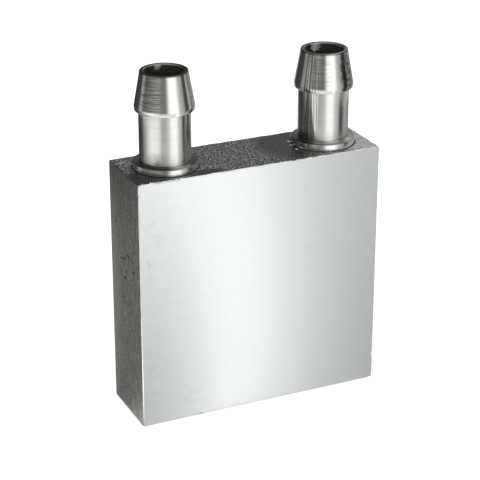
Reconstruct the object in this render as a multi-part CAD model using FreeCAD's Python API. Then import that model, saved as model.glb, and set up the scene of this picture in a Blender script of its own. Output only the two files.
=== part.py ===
# Liquid cooling cold plate: a flat aluminium block that coolant is pumped through, with two
# barbed hose fittings standing on its top end.
#
# The real one is made like this, and so is the model:
#   channel_body       multi-port extrusion, sawn to length. The ports run up and down, and the
#                      walls between them carry heat from the broad faces into the coolant.
#                      Both ends are milled back inside to leave header spaces.
#   top_end_plate      brazed on to close the top end, and bored for the two fittings.
#   bottom_end_plate   brazed on to close the bottom end. The outside is finished flush.
#   left_hose_barb, right_hose_barb   turned fittings: pressed stub, flange, neck and one barb.
#   left_seal_ring, right_seal_ring   square-cut rubber rings, each pinched under a flange in a
#                                     counterbore of the plate.
# Coolant enters at one barb, goes down the ports of its half, crosses under the centre wall in
# the bottom header, and comes up the ports of the other half.
#
# Units are millimetres. The origin is the middle of the bottom face. +X runs along the width and
# +Y through the thickness, so the front broad face looks along -Y. +Z points up to the fittings.
import FreeCAD, Part
import math
import os

# ---- block ----
block_width = 40.0
block_depth = 12.0
block_height = 40.0
edge_break = 0.15          # chamfer on every outer edge

# ---- extruded channels ----
broad_wall = 2.0           # front and back walls, which touch what is being cooled
side_wall = 2.5
centre_wall = 2.0          # keeps the down half and the up half apart
fin_thickness = 1.0        # wall between two ports of the same half
ports_per_half = 5
port_corner = 0.5

# ---- ends ----
top_plate_thickness = 4.0
bottom_plate_thickness = 3.0
top_header_height = 5.0    # from the top of the fins to the top plate
bottom_header_height = 5.0

# ---- hose fittings ----
fitting_inset = 6.8        # from the block's side to the fitting's axis
bore_diameter = 6.0
bore_deburr = 0.15
flange_diameter = 10.0
flange_thickness = 1.0
flange_chamfer = 0.12
neck_diameter = 7.85
neck_fillet = 0.5
neck_height = 8.85         # from the block's top to where the barb's back slope starts
barb_back = 0.2            # height of that slope
barb_diameter = 9.1
barb_land = 0.65           # short cylinder at the barb's widest place
tip_diameter = 7.2
fitting_height = 15.0      # from the block's top to the tip

# ---- pressed stubs and their seals ----
stub_diameter = 8.0        # the interference of the press is left out, so the two walls just meet
stub_end_gap = 0.4         # the stub stops this far short of the plate's inner face
stub_chamfer = 0.4
relief_depth = 0.25        # undercut of the stub where the seal ring sits
ring_width = 0.9           # from the stub outwards, with the ring pinched
gland_depth = 0.65         # height of the counterbore, and so of the pinched ring
gland_clearance = 0.05     # between the ring and the wall of its counterbore

# ---- worked out from the sizes above ----
cavity_width = block_width - 2 * side_wall
cavity_depth = block_depth - 2 * broad_wall
half_width = (cavity_width - centre_wall) / 2
port_width = (half_width - (ports_per_half - 1) * fin_thickness) / ports_per_half
top_seam = block_height - top_plate_thickness
bottom_seam = bottom_plate_thickness
fins_top = top_seam - top_header_height
fins_bottom = bottom_seam + bottom_header_height
stub_radius = stub_diameter / 2
relief_radius = stub_radius - relief_depth
gland_radius = relief_radius + ring_width + gland_clearance
fitting_offset = block_width / 2 - fitting_inset
fitting_places = {"left": -fitting_offset, "right": fitting_offset}


def block_slice(low, high):
    """The outer block with its edges broken, kept between two heights."""
    corner = FreeCAD.Vector(-block_width / 2, -block_depth / 2, 0)
    blank = Part.makeBox(block_width, block_depth, block_height, corner)
    blank = blank.makeChamfer(edge_break, blank.Edges)
    kept = Part.makeBox(block_width, block_depth, high - low, corner + FreeCAD.Vector(0, 0, low))
    return blank.common(kept)


def channel(width, middle_x, low, high):
    """Upright hollow as deep as the cavity, with the corners that the extrusion die leaves."""
    corner = FreeCAD.Vector(middle_x - width / 2, -cavity_depth / 2, low)
    hollow = Part.makeBox(width, cavity_depth, high - low, corner)
    upright = [edge for edge in hollow.Edges if edge.BoundBox.ZLength > (high - low) / 2]
    return hollow.makeFillet(port_corner, upright)


def half_middle(side):
    """X of the middle of the left (-1) or right (+1) half of the cavity."""
    return side * (centre_wall + half_width) / 2


def ports():
    """The extruded ports, which run from seam to seam until the ends are milled."""
    pitch = port_width + fin_thickness
    cuts = []
    for side in (-1, 1):
        for k in range(ports_per_half):
            offset = (k - (ports_per_half - 1) / 2) * pitch
            cuts.append(channel(port_width, half_middle(side) + offset, bottom_seam, top_seam))
    return cuts


def headers():
    """One header over each half at the top, and one across both halves at the bottom."""
    cuts = [channel(half_width, half_middle(side), fins_top, top_seam) for side in (-1, 1)]
    cuts.append(channel(cavity_width, 0, bottom_seam, fins_bottom))
    return cuts


def channel_body():
    body = block_slice(bottom_seam, top_seam).cut(ports() + headers())
    return body.removeSplitter()


def fitting_hole(x):
    """Hole for a pressed stub, with the counterbore that holds the ring under the flange."""
    hole = Part.makeCylinder(stub_radius, top_plate_thickness, FreeCAD.Vector(x, 0, top_seam))
    floor = FreeCAD.Vector(x, 0, block_height - gland_depth)
    return hole.fuse(Part.makeCylinder(gland_radius, gland_depth, floor))


def top_end_plate():
    plate = block_slice(top_seam, block_height)
    return plate.cut([fitting_hole(x) for x in fitting_places.values()])


def bottom_end_plate():
    return block_slice(0, bottom_seam)


def turned(outline):
    """Solid of revolution about Z. The outline is a list of (radius, height) points. A pair of
    points in it stands for an arc, through the first of the two to the second."""
    edges = []
    here = FreeCAD.Vector(outline[0][0], 0, outline[0][1])
    for entry in outline[1:] + outline[:1]:
        if isinstance(entry[0], tuple):
            middle, end = [FreeCAD.Vector(radius, 0, height) for radius, height in entry]
            edges.append(Part.Arc(here, middle, end).toShape())
        else:
            end = FreeCAD.Vector(entry[0], 0, entry[1])
            edges.append(Part.LineSegment(here, end).toShape())
        here = end
    face = Part.Face(Part.Wire(edges))
    return face.revolve(FreeCAD.Vector(0, 0, 0), FreeCAD.Vector(0, 0, 1), 360)


def hose_barb(x):
    """One fitting. Its outline starts inside the bottom of the stub and goes up the outside,
    with heights counted from the block's top face, and then comes back down the bore."""
    bore = bore_diameter / 2
    flange = flange_diameter / 2
    neck = neck_diameter / 2
    barb = barb_diameter / 2
    stub_bottom = stub_end_gap - top_plate_thickness
    land_bottom = neck_height + barb_back
    arc_rise = neck_fillet * (1 - math.sqrt(0.5))
    fitting = turned([
        (bore, stub_bottom),
        (stub_radius - stub_chamfer, stub_bottom),
        (stub_radius, stub_bottom + stub_chamfer),
        (stub_radius, -gland_depth - relief_depth),
        (relief_radius, -gland_depth),
        (relief_radius, 0),
        (flange, 0),
        (flange, flange_thickness - flange_chamfer),
        (flange - flange_chamfer, flange_thickness),
        (neck + neck_fillet, flange_thickness),
        ((neck + arc_rise, flange_thickness + arc_rise), (neck, flange_thickness + neck_fillet)),
        (neck, neck_height),
        (barb, land_bottom),
        (barb, land_bottom + barb_land),
        (tip_diameter / 2, fitting_height),
        (bore + bore_deburr, fitting_height),
        (bore, fitting_height - bore_deburr),
    ])
    fitting.translate(FreeCAD.Vector(x, 0, block_height))
    return fitting


def seal_ring(x):
    """Ring between the flange and the counterbore's floor, close round the stub."""
    floor = FreeCAD.Vector(x, 0, block_height - gland_depth)
    ring = Part.makeCylinder(relief_radius + ring_width, gland_depth, floor)
    return ring.cut(Part.makeCylinder(relief_radius, gland_depth, floor))


def write(name, shape):
    shape.exportStep(os.path.join("parts", name + ".step"))
    print(name, len(shape.Solids), "solid,", round(shape.Volume, 1), "mm3, valid", shape.isValid())


os.makedirs("parts", exist_ok=True)
write("channel_body", channel_body())
write("top_end_plate", top_end_plate())
write("bottom_end_plate", bottom_end_plate())
for side_name, axis_x in fitting_places.items():
    write(side_name + "_hose_barb", hose_barb(axis_x))
    write(side_name + "_seal_ring", seal_ring(axis_x))
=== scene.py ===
import bmesh
import bpy
import math
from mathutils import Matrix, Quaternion, Vector, noise


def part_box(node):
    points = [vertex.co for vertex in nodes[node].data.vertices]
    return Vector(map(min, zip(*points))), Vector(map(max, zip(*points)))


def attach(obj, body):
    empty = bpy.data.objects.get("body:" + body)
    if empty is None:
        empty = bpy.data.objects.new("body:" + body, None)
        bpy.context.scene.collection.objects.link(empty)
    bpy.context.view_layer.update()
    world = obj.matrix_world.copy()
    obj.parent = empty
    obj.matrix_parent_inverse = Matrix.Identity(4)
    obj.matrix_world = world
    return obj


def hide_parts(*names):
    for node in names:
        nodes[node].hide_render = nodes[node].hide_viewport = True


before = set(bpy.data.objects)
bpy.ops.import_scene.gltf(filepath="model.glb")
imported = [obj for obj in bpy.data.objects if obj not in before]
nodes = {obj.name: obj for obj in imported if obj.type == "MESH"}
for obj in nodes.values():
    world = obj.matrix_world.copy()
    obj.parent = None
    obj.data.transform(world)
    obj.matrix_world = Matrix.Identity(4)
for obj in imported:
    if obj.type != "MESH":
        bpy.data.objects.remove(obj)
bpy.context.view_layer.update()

mm = 0.001
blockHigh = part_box("top_end_plate")[1]  # the block's upper right back corner
fittingAxes = {}  # X of each fitting's axis, in millimetres
for side in ("left", "right"):
    low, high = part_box(side + "_hose_barb")
    fittingAxes[side] = round((low[0] + high[0]) / 2 / mm, 3)


def linear(hexColour):
    # sRGB hex to the linear colour that the shaders want
    channels = [int(hexColour[i:i + 2], 16) / 255 for i in (1, 3, 5)]
    return [c / 12.92 if c <= 0.04045 else ((c + 0.055) / 1.055) ** 2.4 for c in channels] + [1.0]


def addNode(tree, kind, inputs=None, settings=None, stops=None):
    # one node: its inputs are set to values or linked to nodes and sockets, and a colour
    # ramp's stops are (position, hex colour or brightness)
    made = tree.nodes.new(kind)
    for name, value in (settings or {}).items():
        setattr(made, name, value)
    for name, value in (inputs or {}).items():
        if isinstance(value, bpy.types.Node):
            value = next(socket for socket in value.outputs if socket.enabled)
        if isinstance(value, bpy.types.NodeSocket):
            tree.links.new(value, made.inputs[name])
        else:
            made.inputs[name].default_value = value
    for number, (position, shade) in enumerate(stops or []):
        elements = made.color_ramp.elements
        element = elements[number] if number < 2 else elements.new(position)
        element.position = position
        element.color = linear(shade) if isinstance(shade, str) else (shade, shade, shade, 1)
    return made


def newMaterial(name):
    material = bpy.data.materials.new(name)
    material.use_nodes = True
    material.node_tree.nodes.clear()
    return material, material.node_tree


def nothingSelected():
    if bpy.context.object and bpy.context.object.mode != "OBJECT":
        bpy.ops.object.mode_set(mode="OBJECT")
    bpy.ops.object.select_all(action="DESELECT")


def grain(tree, sizes, detail=2.0, seed=0.0, turn=(0, 0, 0)):
    # noise whose grains are sizes millimetres long along X, Y and Z, turned by degrees about them
    place = addNode(tree, "ShaderNodeTexCoord").outputs["Object"]
    tilted = addNode(tree, "ShaderNodeMapping", {
        "Vector": place, "Rotation": [math.radians(angle) for angle in turn]})
    stretched = addNode(tree, "ShaderNodeMapping", {
        "Vector": tilted, "Scale": [1 / (size * mm) for size in sizes],
        "Location": (seed, seed, seed)})
    return addNode(tree, "ShaderNodeTexNoise", {
        "Vector": stretched, "Scale": 1.0, "Detail": detail})


def patches(tree, spots):
    # 1 in the middle of each (place, size) ellipsoid, in millimetres, down to 0 at its edge
    place = addNode(tree, "ShaderNodeTexCoord").outputs["Object"]
    total = None
    for middle, size in spots:
        inside = addNode(tree, "ShaderNodeMapping", {
            "Vector": place, "Location": [c * mm for c in middle],
            "Scale": [c * mm for c in size]}, {"vector_type": "TEXTURE"})
        ball = addNode(tree, "ShaderNodeTexGradient", {"Vector": inside}, {
            "gradient_type": "SPHERICAL"}).outputs["Fac"]
        total = ball if total is None else addNode(tree, "ShaderNodeMath", {
            0: total, 1: ball}, {"operation": "MAXIMUM"})
    return total


def finishMetal(tree, colour, roughness, height, bump, anisotropic=0.0, turn=0.0):
    # bare metal whose relief is bump millimetres deep. Its brushing runs round Z, or is turned
    # from there by a share of a full turn
    around = addNode(tree, "ShaderNodeTangent", settings={
        "direction_type": "RADIAL", "axis": "Z"})
    metal = addNode(tree, "ShaderNodeBsdfPrincipled", {
        "Base Color": colour, "Metallic": 1.0, "Roughness": roughness,
        "Anisotropic": anisotropic, "Anisotropic Rotation": turn, "Tangent": around})
    relief = addNode(tree, "ShaderNodeBump", {
        "Height": height, "Distance": bump * mm, "Strength": 1.0})
    tree.links.new(relief.outputs["Normal"], metal.inputs["Normal"])
    addNode(tree, "ShaderNodeOutputMaterial", {"Surface": metal})


# sizes in mm. Edges are broken by hand: chamfers a little uneven, with teeth along one of them
# and a few knocks (place, radius, depth). Marked places in the finish, among them painted shade
# and a painted sheen, are (middle, size)
block = {
    "pieces": {
        "channel_body": "channel_body_finish",
        "top_end_plate": "top_end_plate_finish",
        "bottom_end_plate": "bottom_end_plate_finish",
    },
    "half": (round(blockHigh[0] / mm, 3), round(blockHigh[1] / mm, 3)),
    "top": round(blockHigh[2] / mm, 3),
    # the chamfer, the distance between the cuts across it, and what counts as the same place
    "edgeBreak": 0.15, "step": 0.16, "close": 0.01,
    # how far back the edge lines stand, and by how much they waver along the block
    "meanBreak": 0.12, "leastBreak": 0.02, "waver": 0.04, "topWaver": 0.12, "waverLength": 1.1,
    "burr": {"from": -19.8, "to": -12.5, "back": 0.27, "height": 1.15, "length": 0.29, "row": 1.7},
    "knocks": [
        ((-10.4, -6, 0), 0.5, 0.42), ((20, -6, 4.2), 0.6, 0.35), ((20, -6, 0), 0.9, 0.35),
        ((-20, -6, 38.4), 0.4, 0.25), ((-20, 6, 33.0), 0.5, 0.2), ((-20, -6, 13.0), 0.3, 0.2),
        ((14.0, -6, 40), 0.6, 0.12), ((4.0, -6, 40), 0.5, 0.12), ((20, 6, 40), 0.8, 0.25),
        ((-20, 6, 40), 0.7, 0.2), ((-7.0, 6, 40), 0.6, 0.2), ((9.0, 6, 0), 0.7, 0.3),
        ((20, 6, 17.0), 0.5, 0.25), ((-4.0, 6, 40), 0.4, 0.15),
    ],
    "fingerMarks": [
        ((-17.6, -6, 32.0), (2.2, 2, 4.0)), ((-18.5, -6, 27.0), (1.6, 2, 5.0)),
        ((-17.5, -6, 9.0), (2.4, 2, 8.0)), ((-12.0, -6, 3.5), (3.0, 2, 2.6)),
    ],
    # darker at one knock in the foot of the front
    "darkKnock": [((-10.4, -6.0, 0.1), (0.5, 1.0, 0.4))],
    "sawMarks": [((-18.9, 3.8, 40), (6.0, 8.0, 2))],
    # the right end of the top, mottled and painted lighter as a sheen
    "paintedSheenEnd": [((19.4, -2.0, 40), (5.4, 14.0, 2))],
    # painted shade beside the flanges, darker and with less relief
    "flangeShade": [
        ((7.3, 1.0, 40), (6.0, 8.0, 2)), ((-17.5, -4.5, 40), (6.5, 5.0, 2)),
        ((-9.0, -5.0, 40), (4.0, 1.6, 2)),
    ],
    "flangeFootShade": (5.08, 5.25),  # painted contact shadow round each flange's foot, by distance from its axis
    "crumbs": [
        ((7.9, -1.6, 40), (0.25, 0.4, 1)), ((7.95, 0.4, 40), (0.2, 0.45, 1)),
        ((8.3, 2.0, 40), (0.25, 0.4, 1)),
    ],
    "paleBackEdges": [((-20, 6.0, 20), (3.0, 4.5, 30)), ((20, 6.0, 20), (3.0, 4.5, 30))],
    "dents": [
        ((-20, -3.3, 25.0), (1, 0.5, 0.3)), ((-20, 0.4, 22.7), (1, 0.5, 0.35)),
        ((-20, 1.4, 25.5), (1, 0.8, 0.2)), ((-20, 0.2, 26.1), (1, 0.7, 0.2)),
        ((-20, -1.2, 26.9), (1, 0.7, 0.2)), ((-20, 3.6, 31.0), (1, 0.3, 0.3)),
    ],
}


def linishedAluminium():
    # broad faces run over a fine belt: bright, smooth to the eye, faint lines along the width
    material, tree = newMaterial("linished_aluminium")
    lines = grain(tree, (9.0, 9.0, 0.2), detail=3.0)  # belt grit 0.05 mm, drawn coarser to show
    colour = addNode(tree, "ShaderNodeValToRGB", {"Fac": lines}, stops=[
        (0.3, "#f1f6f3"), (0.7, "#f4f9f6")])
    dashes = grain(tree, (1.2, 1.2, 0.24), detail=1.0, seed=3.0, turn=(0, 3, 0))  # belt snags
    snags = addNode(tree, "ShaderNodeMapRange", {
        "Value": dashes, "From Min": 0.62, "From Max": 0.78, "To Max": 0.6})
    colour = addNode(tree, "ShaderNodeMix", {0: snags, 6: colour, 7: linear("#ffffff")}, {
        "data_type": "RGBA"})
    dips = addNode(tree, "ShaderNodeMapRange", {
        "Value": dashes, "From Min": 0.36, "From Max": 0.22, "To Max": 0.3})
    colour = addNode(tree, "ShaderNodeMix", {0: dips, 6: colour, 7: linear("#ccd0cd")}, {
        "data_type": "RGBA"})
    smears = addNode(tree, "ShaderNodeMapRange", {
        "Value": grain(tree, (1.3, 1.3, 1.3), detail=4.0, seed=5.0),
        "From Min": 0.46, "From Max": 0.70, "To Max": 0.2})
    smears = addNode(tree, "ShaderNodeMath", {
        0: smears, 1: patches(tree, block["fingerMarks"])}, {"operation": "MULTIPLY"})
    colour = addNode(tree, "ShaderNodeMix", {0: smears, 6: colour, 7: linear("#a9a9a4")}, {
        "data_type": "RGBA"})
    # darker at one knock in the foot of the front
    darkTone = patches(tree, block["darkKnock"])
    colour = addNode(tree, "ShaderNodeMix", {0: darkTone, 6: colour, 7: linear("#4a4a48")}, {
        "data_type": "RGBA"})
    finishMetal(tree, colour, roughness=0.3, height=snags, bump=0.003, anisotropic=0.85, turn=0.25)
    return material


def nearFittings(tree, height, inner, outer):
    # 1 up to the inner distance in mm from the nearest fitting's axis, down to 0 at the outer
    place = addNode(tree, "ShaderNodeTexCoord").outputs["Object"]
    total = None
    for axis in fittingAxes.values():
        away = addNode(tree, "ShaderNodeVectorMath", {
            0: place, 1: (axis * mm, 0, height * mm)}, {"operation": "DISTANCE"})
        disc = addNode(tree, "ShaderNodeMapRange", {
            "Value": away.outputs["Value"], "From Min": outer * mm, "From Max": inner * mm})
        total = disc if total is None else addNode(tree, "ShaderNodeMath", {
            0: total, 1: disc}, {"operation": "MAXIMUM"})
    return total


def sawnAluminium():
    # narrow ends left as sawn and blasted: dull grey, grainy, with sparkles
    material, tree = newMaterial("sawn_aluminium")
    specks = grain(tree, (0.26, 0.26, 0.26), detail=4.0)  # blast grit of a quarter millimetre
    colour = addNode(tree, "ShaderNodeValToRGB", {"Fac": specks}, stops=[
        (0.38, "#383b38"), (0.5, "#7a7e79"), (0.58, "#c9cdc8"), (0.66, "#fafcf8")])
    streaks = addNode(tree, "ShaderNodeMath", {  # saw marks left at one corner
        0: grain(tree, (3.0, 0.55, 0.7), detail=1.0, seed=4.0, turn=(0, 0, -20)),
        1: patches(tree, block["sawMarks"])}, {"operation": "MULTIPLY"})
    streaks = addNode(tree, "ShaderNodeMapRange", {
        "Value": streaks, "From Min": 0.47, "From Max": 0.58})
    colour = addNode(tree, "ShaderNodeMix", {0: streaks, 6: colour, 7: linear("#f4f4f0")}, {
        "data_type": "RGBA"})
    mottle = addNode(tree, "ShaderNodeMapRange", {  # one end is mottled and painted lighter, a painted sheen
        "Value": grain(tree, (0.7, 0.45, 0.4), detail=2.0, seed=8.0, turn=(0, 0, 40)),
        "From Min": 0.4, "From Max": 0.58, "To Min": 0.4, "To Max": 1.0})
    mottle = addNode(tree, "ShaderNodeMapRange", {
        "Value": patches(tree, block["paintedSheenEnd"]), "From Max": 0.5, "To Max": mottle})
    colour = addNode(tree, "ShaderNodeMix", {0: 1.0, 6: colour, 7: mottle}, {
        "data_type": "RGBA", "blend_type": "ADD", "clamp_result": True})
    flangeShade = addNode(tree, "ShaderNodeMapRange", {  # painted shade beside the flanges: darker, smoother, without sparkles
        "Value": patches(tree, block["flangeShade"]),
        "From Min": 0.05, "From Max": 0.4, "To Max": 0.85})
    colour = addNode(tree, "ShaderNodeMix", {0: flangeShade, 6: colour, 7: linear("#666966")}, {
        "data_type": "RGBA"})
    # a painted contact shadow round each flange's foot
    inner, outer = block["flangeFootShade"]
    colour = addNode(tree, "ShaderNodeMix", {
        0: nearFittings(tree, block["top"], inner, outer), 6: colour, 7: linear("#1d1c1a")}, {
        "data_type": "RGBA"})
    rough = addNode(tree, "ShaderNodeMath", {0: 1.0, 1: flangeShade}, {"operation": "SUBTRACT"})
    relief = addNode(tree, "ShaderNodeMath", {0: specks, 1: rough}, {"operation": "MULTIPLY"})
    crumbs = patches(tree, block["crumbs"])  # pressed up beside a flange
    colour = addNode(tree, "ShaderNodeMix", {
        0: addNode(tree, "ShaderNodeMapRange", {"Value": crumbs, "From Max": 0.2}),
        6: colour, 7: linear("#ffffff")}, {"data_type": "RGBA"})
    relief = addNode(tree, "ShaderNodeMath", {0: crumbs, 1: 0.8, 2: relief}, {
        "operation": "MULTIPLY_ADD"})
    finishMetal(tree, colour, roughness=0.38, height=relief, bump=0.3)
    return material


def extrudedAluminium():
    # narrow sides as they left the die: dull grey, drawn lines along the height, small pits
    material, tree = newMaterial("extruded_aluminium")
    lines = grain(tree, (0.3, 0.3, 2.5), detail=4.0)
    colour = addNode(tree, "ShaderNodeValToRGB", {"Fac": lines}, stops=[
        (0.35, "#9d9f98"), (0.65, "#c3c5bd")])
    pale = patches(tree, block["paleBackEdges"])
    colour = addNode(tree, "ShaderNodeMix", {0: pale, 6: colour, 7: linear("#e2e2dd")}, {
        "data_type": "RGBA"})
    flecks = addNode(tree, "ShaderNodeMapRange", {
        "Value": grain(tree, (0.24, 0.24, 0.5), detail=3.0, seed=6.0),
        "From Min": 0.56, "From Max": 0.68})
    colour = addNode(tree, "ShaderNodeMix", {0: flecks, 6: colour, 7: linear("#f2f2ec")}, {
        "data_type": "RGBA"})
    pits = addNode(tree, "ShaderNodeMapRange", {
        "Value": grain(tree, (0.6, 0.6, 0.35), detail=2.0, seed=9.0),
        "From Min": 0.69, "From Max": 0.73})
    dents = addNode(tree, "ShaderNodeMapRange", {
        "Value": patches(tree, block["dents"]), "From Max": 0.5})
    pits = addNode(tree, "ShaderNodeMath", {0: pits, 1: dents}, {"operation": "MAXIMUM"})
    colour = addNode(tree, "ShaderNodeMix", {0: pits, 6: colour, 7: linear("#3a3936")}, {
        "data_type": "RGBA"})
    finishMetal(tree, colour, roughness=0.4, height=lines, bump=0.03)
    return material


def edgeWaver(place, seed, amount):
    # how far an edge line stands back from where it would be sharp, in millimetres
    waver = noise.noise(Vector(place) / block["waverLength"] + Vector((seed, seed, seed)))
    return max(block["leastBreak"], block["meanBreak"] + amount * waver)


def breakEdges(mesh):
    # each line where a face meets its chamfer is moved in its own face, so faces stay flat
    burr = block["burr"]
    for vertex in mesh.vertices:
        place = vertex.co / mm
        planes = outerPlanes(place)
        if len(planes) != 2:
            continue
        amount = block["topWaver" if planes[-1][:2] == (2, block["top"]) else "waver"]
        for axis, limit, distance in planes:
            if distance < block["close"]:
                continue
            back = edgeWaver(place, 3.0 * axis, amount)  # another pattern along each axis
            onFront = place.y < -block["half"][1] + block["close"]
            if limit == block["top"] and onFront and burr["from"] < place.x < burr["to"]:
                # teeth turned up over the front edge
                tooth = noise.noise(Vector((place.x / burr["length"], burr["row"], 0)))
                back = burr["back"] - burr["height"] * max(0.0, tooth)
            for middle, radius, depth in block["knocks"]:
                gap = (Vector(middle) - place).length
                if gap < radius:
                    back = max(back, depth * (1 - (gap / radius) ** 2))
            outward = 1 if limit > 0 else -1
            place[axis] = limit - back * outward
        vertex.co = place * mm


def makeBlock():
    finishes = [linishedAluminium(), sawnAluminium(), extrudedAluminium()]
    for nodeName, pieceName in block["pieces"].items():
        nothingSelected()
        piece = bpy.data.objects.new(pieceName, nodes[nodeName].data.copy())
        bpy.context.scene.collection.objects.link(piece)
        bpy.context.view_layer.objects.active = piece
        piece.select_set(True)
        bpy.ops.mesh.customdata_custom_splitnormals_clear()
        bpy.ops.object.mode_set(mode="EDIT")
        bpy.ops.mesh.select_all(action="SELECT")
        bpy.ops.mesh.remove_doubles(threshold=0.001 * mm)
        bpy.ops.mesh.dissolve_limited(angle_limit=math.radians(0.5))
        bpy.ops.mesh.select_mode(type="FACE")
        divideEdges(piece)
        bpy.ops.object.mode_set(mode="OBJECT")
        breakEdges(piece.data)
        piece.data.materials.clear()
        for material in finishes:
            piece.data.materials.append(material)
        for face in piece.data.polygons:
            x, y, z = [abs(c) for c in face.normal]
            face.material_index = 0 if y > 0.5 else 1 if z > x else 2  # in the finishes' order
        bpy.ops.object.shade_flat()
        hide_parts(nodeName)
        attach(piece, "root")
    print("block done")


def outerPlanes(place):
    # the outer planes of the block that a place lies close to: (axis, limit, distance)
    halfWidth, halfDepth = block["half"]
    limits = [(-halfWidth, halfWidth), (-halfDepth, halfDepth), (0, block["top"])]
    planes = [(axis, limit, abs(place[axis] - limit))
              for axis, ends in enumerate(limits) for limit in ends]
    return [plane for plane in planes if plane[2] < block["edgeBreak"] + block["close"]]


def divideEdges(piece):
    # the strip of every outer chamfer is cut across, a step at a time
    halfWidth, halfDepth = block["half"]
    for axis, low, high in ((0, -halfWidth, halfWidth), (1, -halfDepth, halfDepth),
                            (2, 0, block["top"])):
        across = Vector([float(number == axis) for number in range(3)])
        count = round((high - low) / block["step"])
        for number in range(1, count):
            cut = low + (high - low) * number / count
            mesh = bmesh.from_edit_mesh(piece.data)
            found = False
            for face in mesh.faces:
                reach = [vertex.co[axis] / mm for vertex in face.verts]
                crossed = min(reach) < cut - block["close"] and max(reach) > cut + block["close"]
                planes = outerPlanes(face.calc_center_median() / mm) if crossed else []
                onStrip = len(planes) == 2 and axis not in (planes[0][0], planes[1][0])
                face.select_set(onStrip)
                found = found or onStrip
            bmesh.update_edit_mesh(piece.data)
            if found:
                bpy.ops.mesh.bisect(plane_co=across * cut * mm, plane_no=across)


# outline of a hose barb, as a lathe cuts it: radius, height above the block, rounding (mm)
hoseBarb = {
    "segments": 144, "height": 15, "boreEdge": 3.04,
    "outline": [
        (3.0, -3.6, 0), (3.6, -3.6, 0), (4.0, -3.2, 0), (4.0, -0.9, 0), (3.75, -0.65, 0),
        (3.75, 0.0, 0), (5.0, 0.0, 0.03), (4.9, 1.0, 0.1), (3.925, 1.0, 0.12),
        (3.925, 8.85, 0), (4.5, 9.05, 0.1), (4.55, 9.7, 0.12), (3.6, 15.0, 0.1),
        (3.15, 15.0, 0.04), (3.0, 14.85, 0.04),
    ],
    # painted shade as a brightness, roughness of the metal and depth of the tool marks, by height
    # in mm
    "paintedShade": [(40.0, 0.2), (40.04, 1.0), (40.95, 1.0), (40.99, 0.2), (41.1, 0.24), (41.3, 0.8),
             (42.3, 0.94), (43.5, 1.0), (54.75, 1.0), (54.88, 0.3), (55.0, 0.18)],
    "rough": [(40.0, 0.2), (40.9, 0.2), (41.0, 0.28), (42.0, 0.26), (43.4, 0.14), (55.0, 0.14)],
    "marks": [(40.0, 0.3), (41.0, 0.3), (41.3, 0.03), (49.6, 0.03), (49.9, 1.0), (55.0, 1.0)],
    # worn places and painted highlights in the finish: the middle of each and its size in mm
    "tornLeft": [((-16.5, -2.4, 52.2), (2.3, 2.2, 6.0))],
    "tornRight": [((10.9, -3.3, 52.2), (1.9, 2.0, 5.5))],
    "dryGrime": [((-15.8, -3.2, 41.2), (2.6, 2.4, 2.6))],
    # darker specks at the right fitting's cone edge and beside its flange
    "darkSpecks": [((15.2, -3.7, 51.8), (1.7, 1.7, 4.6)), ((8.7, -2.0, 41.5), (1.6, 3.0, 1.4))],
    "drawn": [((9.8, -2.3, 51.5), (1.5, 2.2, 6.0)), ((9.9, -2.0, 45.0), (1.4, 2.2, 6.0)),
              ((16.5, -2.0, 45.5), (1.3, 2.0, 6.5))],
    # painted highlights on the flanges' tops and the right mouth's rim
    "paintedRimHighlights": [((-12.0, -4.6, 41), (3.4, 2.2, 1.2)), ((15.8, -2.4, 41), (10.0, 10.0, 1.6)),
                   ((13.2, -3.2, 55), (3.6, 1.4, 0.5))],
    # painted highlights at the back of each mouth
    "paintedMouthGlints": [((-13.0, 2.9, 54.9), (1.0, 1.2, 1.2)), ((13.2, 2.9, 54.6), (1.1, 0.9, 1.5))],
    # the flange's top: its height, and the distances from the axis at which its painted highlights
    # start to fade and are least
    "flangeTop": (41, 4.2, 4.95),
}


def byHeight(tree, stops):
    # a value that follows the height up a fitting
    low, length = block["top"], hoseBarb["height"]
    place = addNode(tree, "ShaderNodeTexCoord").outputs["Object"]
    height = addNode(tree, "ShaderNodeSeparateXYZ", {"Vector": place}).outputs["Z"]
    level = addNode(tree, "ShaderNodeMapRange", {
        "Value": height, "From Min": low * mm, "From Max": (low + length) * mm})
    return addNode(tree, "ShaderNodeValToRGB", {"Fac": level}, stops=[
        ((z - low) / length, value) for z, value in stops])


def drawnLines(tree):
    # fine lines that run up the right fitting, 3 degrees wide and 12 mm long
    place = addNode(tree, "ShaderNodeTexCoord").outputs["Object"]
    x, y, z = addNode(tree, "ShaderNodeSeparateXYZ", {"Vector": place}).outputs
    right = addNode(tree, "ShaderNodeMath", {0: x, 1: fittingAxes["right"] * mm}, {
        "operation": "SUBTRACT"})
    angle = addNode(tree, "ShaderNodeMath", {0: y, 1: right}, {"operation": "ARCTAN2"})
    around = addNode(tree, "ShaderNodeCombineXYZ", {"X": angle, "Z": z})
    stretched = addNode(tree, "ShaderNodeMapping", {
        "Vector": around, "Scale": (1 / math.radians(3.0), 1, 1 / (12 * mm))})
    return addNode(tree, "ShaderNodeTexNoise", {
        "Vector": stretched, "Scale": 1.0, "Detail": 2.0})


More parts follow.
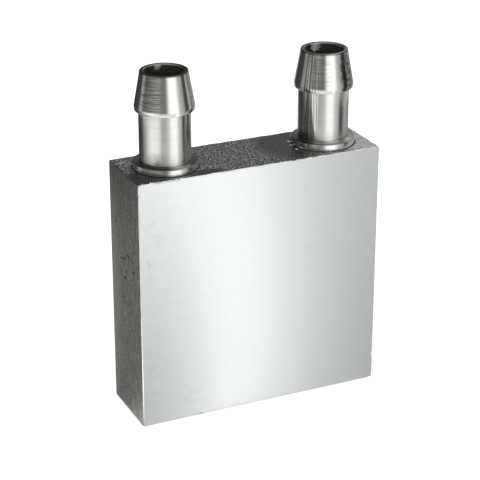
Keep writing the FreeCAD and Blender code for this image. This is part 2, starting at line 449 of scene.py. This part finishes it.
def turnedAluminium():
    # turned from bar: bright, with tool marks round the cone, a burnished neck, and dried grime
    # where the neck meets the flange, with painted shade and painted highlights on the flanges and
    # mouths
    material, tree = newMaterial("turned_aluminium")
    rings = grain(tree, (40.0, 40.0, 0.16), detail=3.0)  # feed marks, drawn coarser to show
    colour = addNode(tree, "ShaderNodeValToRGB", {"Fac": rings}, stops=[
        (0.3, "#edede8"), (0.7, "#f6f6f1")])
    marks = byHeight(tree, hoseBarb["marks"])
    torn = addNode(tree, "ShaderNodeMath", {
        0: grain(tree, (3.0, 3.0, 0.17), detail=2.0, seed=2.0), 1: marks}, {
        "operation": "MULTIPLY"})
    darkTone = grain(tree, (1.5, 1.5, 3.0), detail=2.0, seed=11.0)
    mottle = grain(tree, (0.2, 0.2, 0.6), detail=2.0, seed=7.0)
    wear = [  # pattern, where it starts and is full, how much of the shade it lays on, places
        (torn, (0.46, 0.6), 0.55, "#4c4b48", "tornLeft"),
        (torn, (0.46, 0.6), 0.3, "#4c4b48", "tornRight"),
        (darkTone, (0.2, 0.5), 0.25, "#4b463e", "dryGrime"),
        (mottle, (0.34, 0.54), 0.8, "#2c2b28", "darkSpecks"),
        (drawnLines(tree), (0.44, 0.56), 0.6, "#4a4944", "drawn"),
    ]
    for pattern, (start, full), amount, shade, places in wear:
        where = addNode(tree, "ShaderNodeMapRange", {
            "Value": patches(tree, hoseBarb[places]), "From Max": 0.35, "To Max": amount})
        worn = addNode(tree, "ShaderNodeMapRange", {
            "Value": pattern, "From Min": start, "From Max": full})
        worn = addNode(tree, "ShaderNodeMath", {0: worn, 1: where}, {"operation": "MULTIPLY"})
        colour = addNode(tree, "ShaderNodeMix", {0: worn, 6: colour, 7: linear(shade)}, {
            "data_type": "RGBA"})
    # painted shade darkens the flange's top, the crevice under it, the foot of the neck and the
    # mouth's rim, apart from painted highlights with painted glints, which fade towards the
    # flange's edge
    height, inner, outer = hoseBarb["flangeTop"]
    rim = addNode(tree, "ShaderNodeMapRange", {
        "Value": nearFittings(tree, height, inner, outer), "To Min": 0.55})
    paintedHighlights = patches(tree, hoseBarb["paintedRimHighlights"])
    paintedGlints = addNode(tree, "ShaderNodeMapRange", {
        "Value": grain(tree, (0.2, 0.2, 0.2), detail=1.0, seed=9.0),
        "From Min": 0.62, "From Max": 0.68, "To Max": 0.8})
    paintedHighlights = addNode(tree, "ShaderNodeMath", {0: paintedGlints, 1: paintedHighlights, 2: paintedHighlights}, {
        "operation": "MULTIPLY_ADD"})
    paintedHighlights = addNode(tree, "ShaderNodeMath", {0: paintedHighlights, 1: rim}, {"operation": "MULTIPLY"})
    paintedShade = addNode(tree, "ShaderNodeMath", {
        0: byHeight(tree, hoseBarb["paintedShade"]), 1: paintedHighlights}, {"operation": "MAXIMUM"})
    colour = addNode(tree, "ShaderNodeMix", {0: 1.0, 6: colour, 7: paintedShade}, {
        "data_type": "RGBA", "blend_type": "MULTIPLY"})
    relief = addNode(tree, "ShaderNodeMath", {0: rings, 1: marks}, {"operation": "MULTIPLY"})
    roughness = byHeight(tree, hoseBarb["rough"])
    finishMetal(tree, colour, roughness, relief, bump=0.014, anisotropic=0.4, turn=0.25)
    return material


def drilledAluminium():
    # the bore as the drill left it: duller, and painted darker as shade in the hole, with coarse
    # marks and a painted highlight at the back of each mouth, rougher and torn
    material, tree = newMaterial("drilled_aluminium")
    marks = grain(tree, (3.0, 3.0, 0.2), detail=3.0)
    colour = addNode(tree, "ShaderNodeValToRGB", {"Fac": marks}, stops=[
        (0.3, "#a8a69e"), (0.7, "#d2d0c6")])
    torn = grain(tree, (0.35, 0.35, 0.5), detail=3.0, seed=4.0)
    mouthGlint = addNode(tree, "ShaderNodeMath", {
        0: patches(tree, hoseBarb["paintedMouthGlints"]), 1: torn}, {"operation": "MULTIPLY"})
    mouthGlint = addNode(tree, "ShaderNodeMapRange", {
        "Value": mouthGlint, "From Min": 0.1, "From Max": 0.25})
    roughness = addNode(tree, "ShaderNodeMapRange", {
        "Value": mouthGlint, "To Min": 0.3, "To Max": 0.75})
    colour = addNode(tree, "ShaderNodeMix", {0: mouthGlint, 6: colour, 7: linear("#f6f6f2")}, {
        "data_type": "RGBA"})
    relief = addNode(tree, "ShaderNodeMath", {0: mouthGlint, 1: torn}, {"operation": "MULTIPLY"})
    relief = addNode(tree, "ShaderNodeMath", {0: relief, 1: 9.0, 2: marks}, {
        "operation": "MULTIPLY_ADD"})
    finishMetal(tree, colour, roughness, relief, bump=0.02)
    return material


def makeHoseBarb(side, turned, drilled):
    low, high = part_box(side + "_hose_barb")
    axis = Vector(((low[0] + high[0]) / 2, (low[1] + high[1]) / 2, 0))
    base = high[2] - hoseBarb["height"] * mm
    outline = [(r * mm, base + h * mm, rounding * mm) for r, h, rounding in hoseBarb["outline"]]
    nothingSelected()
    radius, height = outline[0][:2]
    bpy.ops.mesh.primitive_circle_add(
        vertices=hoseBarb["segments"], radius=radius, location=axis + Vector((0, 0, height)))
    piece = bpy.context.object
    piece.name = side + "_barb_turned"
    bpy.ops.object.transform_apply()
    bpy.ops.object.mode_set(mode="EDIT")
    bpy.ops.mesh.select_mode(type="EDGE")
    bpy.ops.mesh.select_all(action="SELECT")
    for nextRadius, nextHeight, rounding in outline[1:] + outline[:1]:
        bpy.ops.mesh.extrude_edges_move(
            TRANSFORM_OT_translate={"value": (0, 0, nextHeight - height)})
        bpy.ops.transform.resize(
            value=(nextRadius / radius, nextRadius / radius, 1), center_override=axis)
        radius, height = nextRadius, nextHeight
    bpy.ops.mesh.select_all(action="SELECT")
    bpy.ops.mesh.remove_doubles(threshold=0.005 * mm)
    bpy.ops.mesh.normals_make_consistent(inside=False)
    for radius, height, rounding in outline:
        if rounding:
            selectRing(piece, axis, radius, height)
            bpy.ops.mesh.bevel(offset=rounding, offset_type="WIDTH", segments=4)
    bpy.ops.object.mode_set(mode="OBJECT")
    bpy.ops.object.shade_smooth_by_angle(angle=math.radians(30))
    bpy.ops.object.modifier_add(type="WEIGHTED_NORMAL")  # long faces keep their own direction
    piece.modifiers[0].weight = 100
    piece.modifiers[0].keep_sharp = True
    bpy.ops.object.modifier_apply(modifier=piece.modifiers[0].name)
    piece.data.materials.append(turned)
    piece.data.materials.append(drilled)
    for face in piece.data.polygons:
        if (face.center - axis).xy.length < hoseBarb["boreEdge"] * mm:
            face.material_index = 1
    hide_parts(side + "_hose_barb")
    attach(piece, "root")


def selectRing(piece, axis, radius, height):
    # the ring of edges at one corner of the outline
    mesh = bmesh.from_edit_mesh(piece.data)
    close = 0.002 * mm
    for edge in mesh.edges:
        edge.select_set(all(
            abs(vertex.co.z - height) < close
            and abs((vertex.co - axis).xy.length - radius) < close for vertex in edge.verts))
    bmesh.update_edit_mesh(piece.data)


def mouldedNitrile():
    # moulded nitrile rubber: black, dull, with a faint bloom
    material, tree = newMaterial("moulded_nitrile")
    bloom = grain(tree, (0.4, 0.4, 0.4), detail=3.0)
    colour = addNode(tree, "ShaderNodeValToRGB", {"Fac": bloom}, stops=[
        (0.35, "#1c1c1d"), (0.65, "#2c2c2d")])
    relief = addNode(tree, "ShaderNodeBump", {
        "Height": bloom, "Distance": 0.01 * mm, "Strength": 1.0})
    rubber = addNode(tree, "ShaderNodeBsdfPrincipled", {
        "Base Color": colour, "Roughness": 0.6, "IOR": 1.52, "Normal": relief})
    addNode(tree, "ShaderNodeOutputMaterial", {"Surface": rubber})
    return material


def makeFittings():
    turned, drilled = turnedAluminium(), drilledAluminium()
    rubber = mouldedNitrile()
    for side in ("left", "right"):
        makeHoseBarb(side, turned, drilled)
        ring = nodes[side + "_seal_ring"].data
        ring.materials.clear()
        ring.materials.append(rubber)
    print("fittings done")


# the floor, the softbox and the camera are in metres, and their angles in degrees
floorLook = {"size": 3.0, "colour": "#f2f2f2", "glow": 0.45}
worldLook = {"white": 1.0, "light": 0.85}
softbox = {
    "azimuth": 5, "elevation": 40, "distance": 0.6, "aim": (0, 0, 0.03),
    "size": 0.45, "power": 1.0,
}
cameraLook = {
    "azimuth": -24.767, "elevation": 23.134, "roll": 0.017, "distance": 0.26379,
    "aim": (-0.00082, 0.0002, 0.02563), "lens": 126.9,
}
# a graded tent seen only in the object's reflections. A wall is (radius, bottom, top) in mm, and
# its stops are (azimuth in degrees, brightness), counted from the front towards +X. The ground's
# front stops are (mm across the front, brightness), along lines that run the ground's slant away
# from the object
tent = {
    "walls": {"low": (100, 0, 20), "high": (150, 5, 105), "middle": (100, 80, 130),
              "upper": (100, 130, 250)},
    "radius": 100, "sides": 96,
    "low": [(-180, 0.30), (-176, 0.04), (-136, 0.05), (-122, 0.18), (-111, 0.38), (-101, 0.62),
            (-92, 0.84), (-80, 1.02), (-60, 0.98), (-50, 0.78), (-41, 0.46), (-32, 0.44),
            (-22, 0.5), (-12, 0.62), (-5, 0.88), (2, 1.06), (16, 1.1), (25, 0.98), (30, 0.76),
            (36, 0.58), (46, 0.46), (52, 0.34), (56, 0.07), (69, 0.07), (79, 0.3), (96, 0.36),
            (112, 0.3), (180, 0.30)],
    "high": [(-180, 0.30), (-176, 0.04), (-130, 0.05), (-121, 0.36), (-113, 0.36), (-106, 0.12),
             (-86, 0.2), (-60, 0.33), (-48, 0.33), (-36, 0.2), (-22, 0.18), (-17, 0.4), (-8, 1.1),
             (0, 1.18), (18, 1.18), (26, 0.95), (31, 0.62), (38, 0.46), (46, 0.4), (55, 0.3),
             (60, 0.06), (75, 0.05), (82, 0.35), (94, 0.35), (104, 0.25), (180, 0.30)],
    "middle": [(-180, 0.06), (-150, 0.10), (-110, 0.2), (-60, 0.12), (-25, 0.08), (0, 0.2),
               (30, 0.4), (60, 0.35), (100, 0.15), (120, 0.8), (138, 0.7), (148, 0.36),
               (156, 0.07), (180, 0.05)],
    "upper": [(-180, 0.3), (-150, 0.3), (-90, 0.7), (0, 1.0), (45, 1.2), (90, 0.7), (130, 0.3),
              (180, 0.3)],
    "slant": 25.5, "front": -6, "reach": 60, "lift": 0.05,
    "ground": [(-60, 0.9), (-30, 0.78), (-22, 0.54), (-14, 0.82), (-6, 1.24), (0, 1.13),
               (10, 0.74), (20, 0.53), (60, 0.4)],
    "near": [(0.0, 0.80), (0.5, 0.92), (1.0, 1.0)],
    # lighter places on the ground: middle and size in mm, and how much lighter
    "lighter": [((18, -85, 0), (22, 34, 20), 0.12), ((-33, -11, 0), (13, 12, 20), 1.0)],
    "behind": [(-180, 0.6), (-150, 0.22), (-100, 0.22), (-80, 0.6), (80, 0.6), (180, 0.6)],
}


def direction(azimuth, elevation):
    a, e = math.radians(azimuth), math.radians(elevation)
    return Vector((math.sin(a) * math.cos(e), -math.cos(a) * math.cos(e), math.sin(e)))


def notLight(tree):
    # 1 for what the camera, a reflection or glass sees, and 0 for the light on things
    path = addNode(tree, "ShaderNodeLightPath").outputs
    seen = addNode(tree, "ShaderNodeMath", {
        0: path["Is Camera Ray"], 1: path["Is Glossy Ray"]}, {"operation": "MAXIMUM"})
    return addNode(tree, "ShaderNodeMath", {
        0: seen, 1: path["Is Transmission Ray"]}, {"operation": "MAXIMUM"})


def makeFloor():
    nothingSelected()
    bpy.ops.mesh.primitive_plane_add(size=floorLook["size"])
    floor = bpy.context.object
    floor.name = "floor"
    material, tree = newMaterial("pale_floor")
    glow = addNode(tree, "ShaderNodeMath", {0: notLight(tree), 1: floorLook["glow"]}, {
        "operation": "MULTIPLY"})
    shader = addNode(tree, "ShaderNodeBsdfPrincipled", {
        "Base Color": linear(floorLook["colour"]), "Roughness": 0.9, "Specular IOR Level": 0.0,
        "Emission Color": (1, 1, 1, 1), "Emission Strength": glow})
    addNode(tree, "ShaderNodeOutputMaterial", {"Surface": shader})
    floor.data.materials.append(material)


def makeWorld():
    world = bpy.data.worlds.new("studio")
    bpy.context.scene.world = world
    world.use_nodes = True
    tree = world.node_tree
    tree.nodes.clear()
    strength = addNode(tree, "ShaderNodeMapRange", {
        "Value": notLight(tree), "To Min": worldLook["light"], "To Max": worldLook["white"]})
    sky = addNode(tree, "ShaderNodeBackground", {"Color": (1, 1, 1, 1), "Strength": strength})
    addNode(tree, "ShaderNodeOutputWorld", {"Surface": sky})


def wallShade(tree, parts, stops):
    # brightness that follows the azimuth from the front towards +X
    back = addNode(tree, "ShaderNodeMath", {0: parts["Y"], 1: -1.0}, {"operation": "MULTIPLY"})
    angle = addNode(tree, "ShaderNodeMath", {0: parts["X"], 1: back}, {"operation": "ARCTAN2"})
    turn = addNode(tree, "ShaderNodeMapRange", {
        "Value": angle, "From Min": -math.pi, "From Max": math.pi})
    return addNode(tree, "ShaderNodeValToRGB", {"Fac": turn}, stops=[
        ((a + 180) / 360, shade) for a, shade in stops])


def groundShade(tree, parts):
    # slanted bands in front of the object, and the azimuth's brightness behind it
    ahead = addNode(tree, "ShaderNodeMath", {0: parts["Y"], 1: tent["front"] * mm}, {
        "operation": "SUBTRACT"})
    across = addNode(tree, "ShaderNodeMath", {
        0: ahead, 1: math.tan(math.radians(tent["slant"])), 2: parts["X"]}, {
        "operation": "MULTIPLY_ADD"})
    reach = tent["reach"]
    across = addNode(tree, "ShaderNodeMapRange", {
        "Value": across, "From Min": -reach * mm, "From Max": reach * mm})
    front = addNode(tree, "ShaderNodeValToRGB", {"Fac": across}, stops=[
        ((x + reach) / (2 * reach), shade) for x, shade in tent["ground"]])
    away = addNode(tree, "ShaderNodeMapRange", {
        "Value": ahead, "From Min": 0.0, "From Max": -reach * mm})
    near = addNode(tree, "ShaderNodeValToRGB", {"Fac": away}, stops=tent["near"])
    front = addNode(tree, "ShaderNodeMix", {0: 1.0, 6: front, 7: near}, {
        "data_type": "RGBA", "blend_type": "MULTIPLY"})
    for middle, size, amount in tent["lighter"]:
        lighter = addNode(tree, "ShaderNodeMapRange", {
            "Value": patches(tree, [(middle, size)]), "From Max": 0.6, "To Max": amount})
        front = addNode(tree, "ShaderNodeMix", {0: 1.0, 6: front, 7: lighter}, {
            "data_type": "RGBA", "blend_type": "ADD"})
    behind = addNode(tree, "ShaderNodeMapRange", {
        "Value": ahead, "From Min": -1 * mm, "From Max": 1 * mm})
    return addNode(tree, "ShaderNodeMix", {
        0: behind, 6: front, 7: wallShade(tree, parts, tent["behind"])}, {"data_type": "RGBA"})


def makeTent():
    for name, wall in dict(tent["walls"], ground=None).items():
        nothingSelected()
        if wall:
            radius, bottom, top = wall
            bpy.ops.mesh.primitive_cylinder_add(
                vertices=tent["sides"], radius=radius * mm, depth=(top - bottom) * mm,
                end_fill_type="NOTHING", location=(0, 0, (top + bottom) / 2 * mm))
        else:
            bpy.ops.mesh.primitive_circle_add(
                vertices=tent["sides"], radius=tent["radius"] * mm, fill_type="NGON",
                location=(0, 0, tent["lift"] * mm))
        piece = bpy.context.object
        piece.name = name + "_tent"
        bpy.ops.object.transform_apply()
        material, tree = newMaterial(piece.name)
        place = addNode(tree, "ShaderNodeTexCoord").outputs["Object"]
        parts = addNode(tree, "ShaderNodeSeparateXYZ", {"Vector": place}).outputs
        shade = wallShade(tree, parts, tent[name]) if wall else groundShade(tree, parts)
        glow = addNode(tree, "ShaderNodeEmission", {"Color": shade, "Strength": 1.0})
        addNode(tree, "ShaderNodeOutputMaterial", {"Surface": glow})
        piece.data.materials.append(material)
        piece.visible_camera = False
        piece.visible_diffuse = False
        piece.visible_shadow = False


def makeLamps():
    aim = Vector(softbox["aim"])
    place = aim + direction(softbox["azimuth"], softbox["elevation"]) * softbox["distance"]
    bpy.ops.object.light_add(type="AREA", location=place)
    lamp = bpy.context.object
    lamp.name = "softbox"
    lamp.data.shape = "SQUARE"
    lamp.data.size = softbox["size"]
    lamp.data.energy = softbox["power"]
    lamp.visible_glossy = False  # metal sees the tent instead
    lamp.rotation_euler = (aim - place).to_track_quat("-Z", "Y").to_euler()


def makeCamera():
    look = cameraLook
    back = direction(look["azimuth"], look["elevation"])
    bpy.ops.object.camera_add(location=Vector(look["aim"]) + back * look["distance"])
    camera = bpy.context.object
    camera.rotation_mode = "QUATERNION"
    turn = (-back).to_track_quat("-Z", "Y")
    camera.rotation_quaternion = turn @ Quaternion((0, 0, 1), math.radians(look["roll"]))
    camera.data.lens = look["lens"]
    camera.data.sensor_width = 36
    camera.data.clip_start = 0.01
    camera.data.clip_end = 10
    bpy.context.scene.camera = camera


makeCamera()
makeBlock()
makeFittings()
makeFloor()
makeWorld()
makeTent()
makeLamps()
bpy.context.scene.view_settings.view_transform = "Standard"
print("floor, tent and lamp done")
